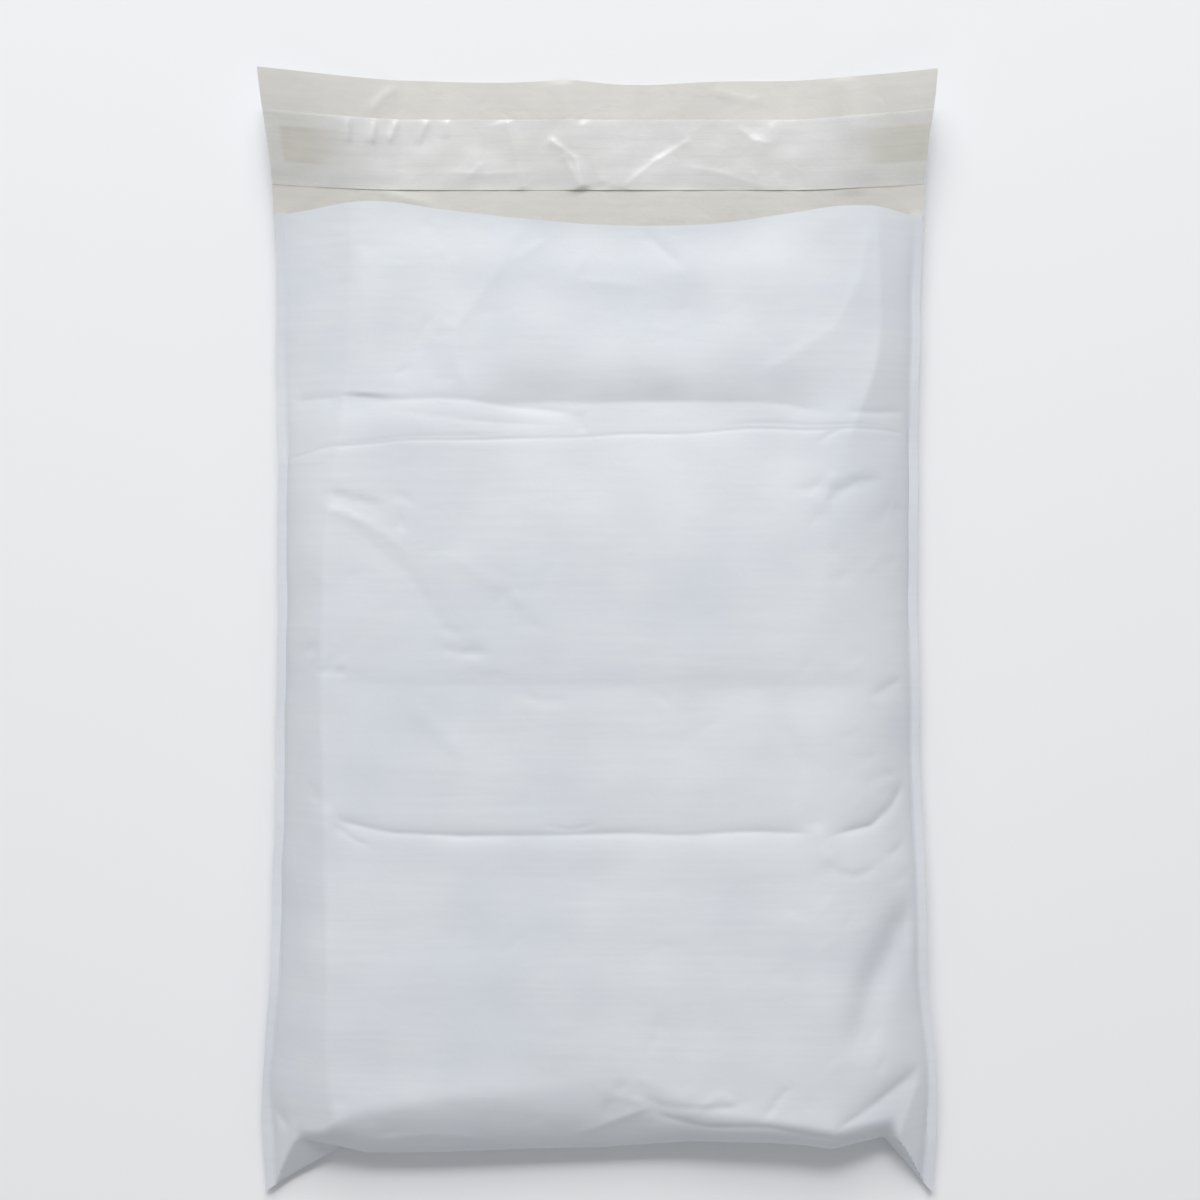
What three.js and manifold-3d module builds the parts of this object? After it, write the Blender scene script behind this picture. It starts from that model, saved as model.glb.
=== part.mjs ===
// A poly mailer bag, filled and not yet sealed, lying on its back with the closing flap open.
// Millimetres. X runs across the bag, +Y towards the flap, +Z up, and the bag rests on z = 0.
import * as THREE from "three";
import { ParametricGeometry } from "three/addons/geometries/ParametricGeometry.js";
import { mergeVertices } from "three/addons/utils/BufferGeometryUtils.js";
import Module from "manifold-3d";

const { clamp, lerp, smoothstep } = THREE.MathUtils;

// The film, drawn thicker than the real 0.06 so that each layer is a solid.
const FILM = 0.5;
const WELD = 6; // width of the side welds, where front and back are one

// The bag in plan: y of its own edges, and half its width at the waist.
const END_Y = -192; // bottom fold, over the filled middle
const EAR_Y = -208; // tips of the two bottom corners
const EAR_X = 90; // the bottom fold is straight as far out as this
const FLAP_Y = 203; // free edge of the flap
const WAIST_Y = 30;
const WAIST = 118.4;
const WIDER_AT_FLAP = 4.2;
const WIDER_AT_END = 5.6;

// The mouth: how far towards the flap the front panel's free edge reaches at each x.
const LIP_EDGE = [[-121, 152.6], [-78, 157.2], [0, 149.4], [97, 156.4], [121, 153]];
const LIP_Y = 153; // its middle line, from which the rows are spaced

// Heights: the side seams lie low at the waist and rise towards the flap's curled corners.
const SEAM_Z = 6;
const FLAP_CURL = 14; // rise of the flap's corners above that
const FOLD_Z = 11; // bottom fold, half way up the filled end
const EAR_Z = 3;
const CROWN = [[-192, 27], [-140, 27.5], [-40, 24], [62, 21.5], [91, 15.5], [118, 18], [160, 8.5]];

// How the film comes down from the crown: from the goods' edges to the side welds, and at the end.
const GOODS_LEFT = 20; // width of the slope on the left, where the goods lie nearer the seam
const GOODS_RIGHT = 35;
const HEAD_SLOPE = 55; // the same on both sides of the empty head
const END_SLOPE = 26;
const END_TUCK = 14; // the underside lifts off the floor this far before the bottom fold
const FLAT_BODY = 0.8; // share of the half width that lies flat on the floor under the goods
const FLAT_FLAP = 0.6;
const HEAD_Y = 84; // the goods end here, and the empty head begins

// The empty head of the bag, open at the mouth.
const POCKET_ROW = 33; // the row at which the goods begin
const POCKET_COLUMN = 3; // the outermost column inside the welds
const SILL = 0.1; // the cut clears the flap's face by this, past the lip
const CUT_ABOVE = 12;

// The closing strip on the flap's inner face.
const ADHESIVE = { from: 173, to: 185.5, inset: 3, thick: 0.3 };
const LINER = { from: 162.5, to: 188.5, inset: 0, thick: 0.3 };
const TOUCH = 0.35; // gap kept between pieces that touch

const COLUMNS = 28;
const EAR_ROWS = 2; // these close up to nothing along the straight of the bottom fold
const BODY_ROWS = 38;
const FLAP_ROWS = 7;
const STRIP_ROWS = 4;
const ROW_EASE = 1.4; // rows crowd towards the bottom fold

// A function through knots [at, value], level at each knot.
function through(knots) {
  return (at) => {
    const next = knots.findIndex(([place]) => place >= at);
    if (next === 0) return knots[0][1];
    if (next < 0) return knots.at(-1)[1];
    const [[before, from], [after, to]] = [knots[next - 1], knots[next]];
    return lerp(from, to, smoothstep(at, before, after));
  };
}

const crown = through(CROWN);
const lipEdge = through(LIP_EDGE);

// Half the width of the bag at y.
function halfWidth(y) {
  const spread = y > WAIST_Y ? WIDER_AT_FLAP : WIDER_AT_END;
  const reach = y > WAIST_Y ? FLAP_Y - WAIST_Y : WAIST_Y - END_Y;
  return WAIST + spread * ((y - WAIST_Y) / reach) ** 2;
}

// The bottom edge of the bag at x: the fold, then out to the ear's tip.
function endEdge(x) {
  return lerp(END_Y, EAR_Y, clamp((Math.abs(x) - EAR_X) / (halfWidth(END_Y) - EAR_X), 0, 1));
}

// Height of the middle plane between the two panels, along the seams and the bottom fold.
function seamHeight(x, y) {
  const curl = FLAP_CURL * Math.max(0, (y - WAIST_Y) / (FLAP_Y - WAIST_Y)) ** 3;
  const side = lerp(EAR_Z, SEAM_Z, smoothstep(y, EAR_Y, -150)) + curl;
  const fold = (FOLD_Z - side) * smoothstep(-y, -LIP_Y / 2, -END_Y);
  return side + fold * (1 - (x / halfWidth(y)) ** 4);
}

// The underside of the back panel and of the flap: flat on the floor, rising to every edge.
function underside(x, y) {
  const half = halfWidth(y);
  const flat = half * lerp(FLAT_BODY, FLAT_FLAP, smoothstep(y, HEAD_Y, FLAP_Y));
  const sideways = clamp((Math.abs(x) - flat) / (half - flat), 0, 1) ** 1.35;
  const endways = clamp(1 - (y - END_Y) / END_TUCK, 0, 1) ** 2;
  const lift = 1 - (1 - sideways) * (1 - endways);
  return (seamHeight(x, y) - FILM) * lift;
}

// The top of the front panel.
function frontPanel(x, y) {
  const body = x < 0 ? GOODS_LEFT : GOODS_RIGHT;
  const slope = lerp(body, HEAD_SLOPE, smoothstep(y, 40, HEAD_Y + 20));
  const fromWeld = clamp((halfWidth(y) - WELD - Math.abs(x)) / slope, 0, 1);
  const fromEnd = clamp((y - END_Y) / END_SLOPE, 0, 1);
  const sideways = (1 - (1 - fromWeld) ** 2) ** 0.7;
  const endways = Math.sqrt(1 - (1 - fromEnd) ** 2);
  return lerp(underside(x, y) + 2 * FILM, crown(y), sideways * endways);
}

// The inner face of the flap, or of the back panel inside the mouth.
function backPanel(x, y) {
  return underside(x, y) + FILM;
}

// Share of the half width at a column: the outer column is the weld, and the rest crowd outwards.
function share(column, half) {
  const inner = (column - 1) / (COLUMNS - 2);
  if (inner < 0 || inner > 1) return Math.sign(inner);
  return Math.sin(Math.PI * (inner - 0.5)) * (1 - WELD / half);
}

// A closed skin between two faces, each a function of column and row that gives a point.
function skin(top, bottom, rows) {
  const loop = 2 * COLUMNS + 2;
  const levels = rows + 2; // a level more at each end, where the cap closes on its middle line
  const place = (u, v, target) => {
    const step = Math.round(u * loop) % loop;
    const level = Math.round(v * levels);
    const row = clamp(level - 1, 0, rows);
    const onTop = step <= COLUMNS;
    const column = onTop ? step : loop - 1 - step;
    const [upper, lower] = [top(column, row), bottom(column, row)];
    if (level === 0 || level === levels) target.lerpVectors(upper, lower, 0.5);
    else target.copy(onTop ? upper : lower);
  };
  return new ParametricGeometry(place, loop, levels);
}

const wasm = await Module();
wasm.setup();

// A geometry as a manifold-3d solid, with the faces that closed up to nothing left out.
function solidOf(geometry) {
  geometry.deleteAttribute("normal");
  geometry.deleteAttribute("uv");
  const merged = mergeVertices(geometry, 1e-4);
  const triVerts = [];
  for (let i = 0; i < merged.index.count; i += 3) {
    const [a, b, c] = [0, 1, 2].map((k) => merged.index.getX(i + k));
    if (a !== b && b !== c && c !== a) triVerts.push(a, b, c);
  }
  const vertProperties = merged.attributes.position.array;
  const mesh = new wasm.Mesh({ numProp: 3, vertProperties, triVerts: new Uint32Array(triVerts) });
  return new wasm.Manifold(mesh);
}

// A manifold-3d solid as a named three.js mesh.
function meshOf(solid, name, material) {
  const { numProp, numVert, vertProperties, triVerts } = solid.getMesh();
  const points = new Float32Array(numVert * 3);
  for (let i = 0; i < numVert; i++) {
    points.set(vertProperties.subarray(i * numProp, i * numProp + 3), i * 3);
  }
  const geometry = new THREE.BufferGeometry();
  geometry.setAttribute("position", new THREE.BufferAttribute(points, 3));
  geometry.setIndex(new THREE.BufferAttribute(triVerts, 1));
  geometry.computeVertexNormals();
  const mesh = new THREE.Mesh(geometry, material);
  mesh.name = name;
  return mesh;
}

// The bag's rows: out to the ears' tips, from the bottom fold to the lip, and on to the flap's edge.
function bagPlan(column, row) {
  const ear = Math.min(row / EAR_ROWS, 1);
  const body = clamp((row - EAR_ROWS) / (BODY_ROWS - EAR_ROWS), 0, 1) ** ROW_EASE;
  const flap = Math.max((row - BODY_ROWS - 1) / FLAP_ROWS, 0);
  const line = lerp(lerp(END_Y, LIP_Y, body), FLAP_Y, flap);
  const x = share(column, halfWidth(line)) * halfWidth(line);
  if (ear < 1) return [x, lerp(endEdge(x), END_Y, ear)];
  return [x, lerp(lerp(END_Y, lipEdge(x), body), FLAP_Y, flap)];
}

// One folded and side-welded film bag with its unseen fill, from the bottom fold to the flap's edge.
function closedBag() {
  const top = (column, row) => {
    const [x, y] = bagPlan(column, row);
    return new THREE.Vector3(x, y, row <= BODY_ROWS ? frontPanel(x, y) : backPanel(x, y));
  };
  const bottom = (column, row) => {
    const [x, y] = bagPlan(column, row);
    return new THREE.Vector3(x, y, underside(x, y));
  };
  return solidOf(skin(top, bottom, BODY_ROWS + 1 + FLAP_ROWS));
}

// The hollow between the panels in the empty head, and one row out past the lip.
function pocket() {
  const rows = BODY_ROWS + 2 - POCKET_ROW;
  const plan = (column, row) =>
    bagPlan(clamp(column, POCKET_COLUMN, COLUMNS - POCKET_COLUMN), row + POCKET_ROW);
  const top = (column, row) => {
    const [x, y] = plan(column, row);
    const ceiling = row < rows ? frontPanel(x, y) - FILM : backPanel(x, y) + CUT_ABOVE;
    return new THREE.Vector3(x, y, ceiling);
  };
  const bottom = (column, row) => {
    const [x, y] = plan(column, row);
    return new THREE.Vector3(x, y, backPanel(x, y) + SILL);
  };
  return solidOf(skin(top, bottom, rows));
}

// A strip that lies on the flap's inner face, lift above it.
function strip({ from, to, inset, thick }, lift) {
  const face = (height) => (column, row) => {
    const y = lerp(from, to, row / STRIP_ROWS);
    const half = halfWidth(y);
    const x = share(column, half) * (half - inset);
    return new THREE.Vector3(x, y, backPanel(x, y) + height);
  };
  return solidOf(skin(face(lift + thick), face(lift), STRIP_ROWS));
}

const film = new THREE.MeshStandardMaterial({ color: 0xd6dbe0, roughness: 0.42, metalness: 0 });
const glue = new THREE.MeshStandardMaterial({ color: 0xcfccbd, roughness: 0.35, metalness: 0 });
const liner = new THREE.MeshStandardMaterial({ color: 0xd9dad7, roughness: 0.25, metalness: 0 });

const adhesiveLift = TOUCH;
const linerLift = adhesiveLift + ADHESIVE.thick + TOUCH;

const bag = new THREE.Group();
bag.position.y = -(EAR_Y + FLAP_Y) / 2; // the origin lies under the middle of the whole bag
bag.add(meshOf(closedBag().subtract(pocket()), "mailer_bag", film));
bag.add(meshOf(strip(ADHESIVE, adhesiveLift), "adhesive_strip", glue));
bag.add(meshOf(strip(LINER, linerLift), "release_liner", liner));

export default bag;
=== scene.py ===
"""A filled poly mailer bag, its closing flap open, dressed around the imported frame.

The bag is one length of film, folded at the bottom and welded down both sides. Its back panel runs on past
the mouth as the flap, which carries a band of hot melt under a siliconised release liner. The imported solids
give the size and the place of every piece, and the film, the glue and the liner are remade here as thin
skins with the folds and wrinkles that handling leaves. Sizes are in millimetres until a mesh is written.
"""

import logging
import math
from dataclasses import dataclass, field
from enum import Enum
from typing import Any

import bpy
import numpy as np
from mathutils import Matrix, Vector

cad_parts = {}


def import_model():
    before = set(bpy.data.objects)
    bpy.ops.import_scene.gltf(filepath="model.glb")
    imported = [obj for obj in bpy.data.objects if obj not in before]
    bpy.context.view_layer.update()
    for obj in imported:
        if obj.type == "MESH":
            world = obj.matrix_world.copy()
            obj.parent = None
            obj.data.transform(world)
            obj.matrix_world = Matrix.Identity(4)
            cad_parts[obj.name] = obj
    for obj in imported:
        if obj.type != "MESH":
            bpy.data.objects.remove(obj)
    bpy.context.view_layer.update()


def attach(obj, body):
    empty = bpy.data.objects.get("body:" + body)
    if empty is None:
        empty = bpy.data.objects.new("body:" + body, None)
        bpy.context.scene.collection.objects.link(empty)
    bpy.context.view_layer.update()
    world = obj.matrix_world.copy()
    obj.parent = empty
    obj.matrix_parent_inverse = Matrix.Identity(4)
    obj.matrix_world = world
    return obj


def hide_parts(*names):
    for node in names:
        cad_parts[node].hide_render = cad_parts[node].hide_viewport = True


LOG = logging.getLogger("mailer")
MM = 0.001
SEED = 41
MERGE = 0.0005 * MM
SMOOTH_BELOW = math.radians(50)
# The film's material slots.
OUTSIDE, INSIDE, WELDED = range(3)
Array = np.ndarray
Pair = tuple[float, float]
Knots = tuple[Pair, ...]


# ---- curves and creases


def hermite(places: Array, values: Array, at: Array) -> Array:
    """Runs a smooth curve through values at rising places.

    Args:
        places: the rising places of the knots.
        values: one value per knot, or one row of values per knot with a column for each item of at.
        at: where the curve is wanted; past the ends it is held level.

    Returns:
        The curve's values, one for each item of at.
    """
    rows = values if values.ndim > 1 else np.repeat(values[:, None], at.size, axis=1)
    slopes = np.gradient(rows, places, axis=0)
    slopes[[0, -1]] = 0
    where = np.clip(at, places[0], places[-1])
    span = np.clip(np.searchsorted(places, where, side="right") - 1, 0, len(places) - 2)
    width = places[span + 1] - places[span]
    t = (where - places[span]) / width
    item = np.arange(at.size)
    start, end = rows[span, item], rows[span + 1, item]
    leave, arrive = slopes[span, item] * width, slopes[span + 1, item] * width
    blend = t * t * (3 - 2 * t)
    return start + (end - start) * blend + leave * t * (1 - t) ** 2 - arrive * t * t * (1 - t)


def ease(value: Array, low: float, high: float) -> Array:
    """Goes smoothly from 0 at low to 1 at high."""
    t = np.clip((value - low) / (high - low), 0, 1)
    return t * t * (3 - 2 * t)


@dataclass(frozen=True)
class Profile:
    """A smooth curve through given knots (place, value), held level past both ends."""

    knots: Knots

    def __call__(self, at: Array) -> Array:
        """Gives the curve's value at each place of an array of any shape."""
        places, values = np.array(self.knots, float).T
        return hermite(places, values, np.ravel(at)).reshape(np.shape(at))


@dataclass(frozen=True)
class Loft:
    """A surface lofted through cross sections (y, knots of the height over x)."""

    sections: tuple[tuple[float, Knots], ...]

    def __call__(self, x: Array, y: Array) -> Array:
        """Gives the surface's height at each (x, y)."""
        places = np.array([place for place, _ in self.sections], float)
        values = np.stack([np.ravel(Profile(knots)(x)) for _, knots in self.sections])
        return hermite(places, values, np.ravel(y)).reshape(np.shape(x))


class Fold(Enum):
    """How tightly film has been folded along a crease."""

    CRISP = "crisp"
    SOFT = "soft"


@dataclass(frozen=True)
class Crease:
    """One fold or wrinkle in the film, raised or sunk along a path.

    Attributes:
        path: its points (x, y), from one end to the other.
        rise: height along the path, below zero for a groove.
        spread: how fast it fades to the left and to the right of the path.
        fold: crisp or soft.
        taper: the share of its length over which each end dies away.
    """

    path: Knots
    rise: float
    spread: Pair
    fold: Fold = Fold.CRISP
    taper: float = 0.3

    def lift(self, x: Array, y: Array) -> Array:
        """Gives the height that this crease adds.

        Args:
            x: across the bag.
            y: along it.

        Returns:
            The height at each (x, y).
        """
        nearest = np.full(x.shape, np.inf)
        left = np.zeros(x.shape, bool)
        along = np.zeros(x.shape)
        done = 0.0
        for (x0, y0), (x1, y1) in zip(self.path, self.path[1:]):
            run, climb = x1 - x0, y1 - y0
            length = math.hypot(run, climb)
            t = np.clip(((x - x0) * run + (y - y0) * climb) / length**2, 0, 1)
            off_x, off_y = x - x0 - t * run, y - y0 - t * climb
            distance = np.hypot(off_x, off_y)
            closer = distance < nearest
            nearest = np.where(closer, distance, nearest)
            left = np.where(closer, run * off_y - climb * off_x > 0, left)
            along = np.where(closer, done + t * length, along)
            done += length
        reach = nearest / np.where(left, self.spread[0], self.spread[1])
        fall = np.exp(-reach) if self.fold is Fold.CRISP else np.exp(-reach * reach)
        to_end = np.minimum(along, done - along) / max(self.taper * done, 1e-6)
        return self.rise * fall * ease(to_end, 0, 1)


@dataclass(frozen=True)
class Ripple:
    """Slow unevenness: a seeded sum of plane waves in every direction.

    Attributes:
        size: its usual height.
        lengths: the shortest and the longest wave.
        seed: what the waves are drawn from.
        number: how many waves there are.
    """

    size: float
    lengths: Pair
    seed: int
    number: int = 14

    def __call__(self, x: Array, y: Array) -> Array:
        """Gives the unevenness.

        Args:
            x: across the bag.
            y: along it.

        Returns:
            The height at each (x, y).
        """
        draw = np.random.default_rng(self.seed)
        total = np.zeros(x.shape)
        for _ in range(self.number):
            turn, phase = draw.uniform(0, 2 * math.pi, 2)
            along = x * math.cos(turn) + y * math.sin(turn)
            total += np.sin(along * 2 * math.pi / draw.uniform(*self.lengths) + phase)
        return total * self.size * math.sqrt(2 / self.number)


# No fold in film runs quite straight or holds its depth.
STRAY_X = Ripple(0.4, (30.0, 110.0), 3)
STRAY_Y = Ripple(0.4, (30.0, 110.0), 5)
UNEVEN = Ripple(0.13, (22.0, 80.0), 7)


def relief(creases: tuple[Crease, ...], x: Array, y: Array) -> Array:
    """Adds up creases, each a little astray and uneven.

    Args:
        creases: what to add up.
        x: across the bag.
        y: along it.

    Returns:
        The height at each (x, y).
    """
    at_x, at_y = x + STRAY_X(x, y), y + STRAY_Y(x, y)
    total = np.zeros(x.shape)
    for crease in creases:
        total += crease.lift(at_x, at_y)
    return total * (1 + UNEVEN(x, y))


# ---- materials


def linear(colour: str) -> tuple[float, float, float, float]:
    """Turns an sRGB hex colour into the linear RGBA that a shader socket takes.

    Args:
        colour: six hex digits after a #.

    Returns:
        Red, green and blue as linear light, and an alpha of 1.
    """
    parts = [int(colour[i : i + 2], 16) / 255 for i in (1, 3, 5)]
    light = [c / 12.92 if c <= 0.04045 else ((c + 0.055) / 1.055) ** 2.4 for c in parts]
    return light[0], light[1], light[2], 1.0


def add_node(
    tree: bpy.types.NodeTree,
    kind: str,
    settings: dict[str | int, Any] | None = None,
    links: dict[str | int, Any] | None = None,
) -> bpy.types.Node:
    """Adds one shader node.

    Args:
        tree: the node tree that takes it.
        kind: the node's type, such as ShaderNodeBump.
        settings: properties of the node, or values of its input sockets, by name or number.
        links: output sockets that feed its input sockets, by the input's name or number.

    Returns:
        The new node.
    """
    made = tree.nodes.new(kind)
    for name, value in (settings or {}).items():
        if isinstance(name, int) or name in made.inputs:
            made.inputs[name].default_value = value
        else:
            setattr(made, name, value)
    for name, source in (links or {}).items():
        tree.links.new(source, made.inputs[name])
    return made


@dataclass(frozen=True)
class FilmFinish:
    """Blown polyethylene film: satin, faintly streaked along the way it was drawn.

    Attributes:
        name: the material's name.
        light: the film's lighter tone.
        dark: its darker tone, in slow clouds and fine streaks.
        roughness: the least roughness, and the most.
        specular: how strongly it reflects.
        alpha: how much of it hides what lies behind, in the middle and at the two ends; the liner's more
            opaque, whiter middle is painted sheen.
        crumple: depth of the fine crumple, in millimetres like the sizes below.
        streak: how strongly the die lines catch the light.
        streak_gap: gap between die lines, coarser than the real ones so that they show.
        cloud_size, streak_length, crumple_size: how far each of these patterns runs.
        clear_from, clear_to: where, out from the middle, alpha changes to that of the ends.
    """

    name: str
    light: str
    dark: str
    roughness: Pair = (0.4, 0.52)
    specular: float = 0.3
    alpha: Pair = (1.0, 1.0)
    crumple: float = 0.16
    streak: float = 0.12
    cloud_size: float = 60.0
    streak_gap: float = 2.2
    streak_length: float = 45.0
    crumple_size: float = 7.0
    clear_from: float = 85.0
    clear_to: float = 108.0

    def build(self) -> bpy.types.Material:
        """Makes the material.

        Returns:
            The new material.
        """
        material = bpy.data.materials.new(self.name)
        material.use_nodes = True
        tree = material.node_tree
        tree.nodes.clear()
        place = add_node(tree, "ShaderNodeTexCoord").outputs["Object"]

        def noise(vector: Any, scale: float, settings: dict[str | int, Any]) -> Any:
            """Adds a noise, and gives its output."""
            settings = {"Scale": scale} | settings
            return add_node(tree, "ShaderNodeTexNoise", settings, {"Vector": vector}).outputs["Fac"]

        def ranged(value: Any, settings: dict[str | int, Any]) -> Any:
            """Adds a change of range, and gives its output."""
            return add_node(tree, "ShaderNodeMapRange", settings, {"Value": value}).outputs["Result"]

        clouds = noise(place, 1 / (self.cloud_size * MM), {"Detail": 3.0, "Roughness": 0.55})
        # The film was drawn across the bag, so its die lines are long in X and close together in Y.
        drawn = add_node(
            tree,
            "ShaderNodeMapping",
            {"Scale": (1 / (self.streak_length * MM), 1 / (self.streak_gap * MM), 1.0)},
            {"Vector": place},
        )
        streaks = noise(drawn.outputs["Vector"], 1.0, {"Detail": 2.0, "Roughness": 0.6})
        crumple = noise(place, 1 / (self.crumple_size * MM), {"Detail": 4.0, "Distortion": 0.6})
        tone = add_node(tree, "ShaderNodeMix", {"data_type": "FLOAT", 0: 0.75}, {2: streaks, 3: clouds})
        colour = add_node(
            tree,
            "ShaderNodeMix",
            {"data_type": "RGBA", 6: linear(self.dark), 7: linear(self.light)},
            {0: ranged(tone.outputs[0], {"From Min": 0.38, "From Max": 0.62})},
        )
        least, most = self.roughness
        gloss = ranged(streaks, {"From Min": 0.3, "From Max": 0.7, "To Min": least, "To Max": most})
        lines = {"Strength": self.streak, "Distance": 0.01 * MM}
        fine = add_node(tree, "ShaderNodeBump", lines, {"Height": streaks})
        bump = add_node(
            tree,
            "ShaderNodeBump",
            {"Strength": 0.8, "Distance": self.crumple * MM},
            {"Height": crumple, "Normal": fine.outputs["Normal"]},
        )
        parts = add_node(tree, "ShaderNodeSeparateXYZ", links={"Vector": place})
        outward = add_node(tree, "ShaderNodeMath", {"operation": "ABSOLUTE"}, {0: parts.outputs["X"]})
        # On the liner the middle is more opaque than the ends, so it shows whiter over the flap: painted
        # sheen.
        middle, ends = self.alpha
        hiding_and_painted_sheen = ranged(
            outward.outputs[0],
            {
                "interpolation_type": "SMOOTHSTEP",
                "From Min": self.clear_from * MM,
                "From Max": self.clear_to * MM,
                "To Min": middle,
                "To Max": ends,
            },
        )
        shader = add_node(
            tree,
            "ShaderNodeBsdfPrincipled",
            {"Specular IOR Level": self.specular, "IOR": 1.5},
            {
                "Alpha": hiding_and_painted_sheen,
                "Base Color": colour.outputs[2],
                "Roughness": gloss,
                "Normal": bump.outputs["Normal"],
            },
        )
        add_node(tree, "ShaderNodeOutputMaterial", links={"Surface": shader.outputs["BSDF"]})
        return material


# Co-extruded low-density polyethylene, pigmented white with a little blue outside: satin and cool.
OUTER_FILM = FilmFinish("ldpe_film_white_outside", "#dfe3e6", "#d8dce2")
# The same film's inner layer, pigmented beige grey so that the goods don't show through.
INNER_FILM = FilmFinish("ldpe_film_grey_inside", "#dcdad4", "#d4d2cc", crumple=0.3)
# Siliconised polyethylene release liner: thin, half clear and glossier than the film below it. Its middle is
# more opaque and whiter than its ends: painted sheen.
RELEASE_LINER = FilmFinish(
    "siliconised_release_liner", "#f6f6f5", "#eeeeec", (0.24, 0.34), 0.5, (0.7, 0.3), 0.2
)
# The two layers of film fused at the side welds, pressed flat by the sealing bar. Their tone, a touch greyer
# than the film, is set between the lit left weld and the shaded right weld: painted light and shade.
WELD_FILM_PAINTED_LIGHT = FilmFinish("ldpe_film_weld_painted_light", "#dcdfe3", "#d4d8dd")
# Hot-melt adhesive: clear yellowish, laid warm from a slot, so its face is wet-looking and even.
HOT_MELT = FilmFinish("hot_melt_adhesive", "#efe8cf", "#e9dfbd", (0.3, 0.4), 0.4, (0.4, 0.4), 0.03)


# ---- thin skins


@dataclass
class Skin:
    """A closed mesh put together from grids of points and the strips that join them."""

    points: list[Array] = field(default_factory=list)
    faces: list[tuple[int, ...]] = field(default_factory=list)
    finishes: list[int] = field(default_factory=list)
    count: int = 0

    def grid(self, x: Array, y: Array, z: Array) -> Array:
        """Adds points laid out in rows and columns.

        Args:
            x: across the bag.
            y: along it.
            z: their heights.

        Returns:
            Their numbers in the same layout.
        """
        self.points.append(np.stack([x, y, z], axis=-1).reshape(-1, 3))
        numbers = self.count + np.arange(x.size).reshape(x.shape)
        self.count += x.size
        return numbers

    def fill(self, grid: Array, finish: int = OUTSIDE, up: bool = True) -> None:
        """Covers a grid of points with quads.

        Args:
            grid: point numbers, rows by columns.
            finish: the material slot of the quads.
            up: whether they face the side from which columns run right as rows run up.
        """
        near, far = grid[:-1], grid[1:]
        quads = np.stack([near[:, :-1], near[:, 1:], far[:, 1:], far[:, :-1]], axis=-1)
        quads = quads.reshape(-1, 4) if up else quads.reshape(-1, 4)[:, ::-1]
        self.faces.extend(map(tuple, quads.tolist()))
        self.finishes.extend([finish] * len(quads))

    def build(self, name: str, materials: list[bpy.types.Material]) -> bpy.types.Object:
        """Writes the mesh in metres and shades it smooth except at its own edges.

        Args:
            name: the piece's name.
            materials: its material slots in order.

        Returns:
            The new piece.
        """
        mesh = bpy.data.meshes.new(name)
        mesh.from_pydata((np.concatenate(self.points) * MM).tolist(), [], self.faces)
        for material in materials:
            mesh.materials.append(material)
        mesh.polygons.foreach_set("material_index", self.finishes)
        mesh.validate()
        piece = bpy.data.objects.new(name, mesh)
        bpy.context.collection.objects.link(piece)
        bpy.ops.object.select_all(action="DESELECT")
        bpy.context.view_layer.objects.active = piece
        piece.select_set(True)
        bpy.ops.object.mode_set(mode="EDIT")
        bpy.ops.mesh.select_all(action="SELECT")
        bpy.ops.mesh.remove_doubles(threshold=MERGE)
        bpy.ops.mesh.normals_make_consistent(inside=False)
        bpy.ops.object.mode_set(mode="OBJECT")
        bpy.ops.object.shade_smooth_by_angle(angle=SMOOTH_BELOW)
        return piece


# ---- the folds of this bag

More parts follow.
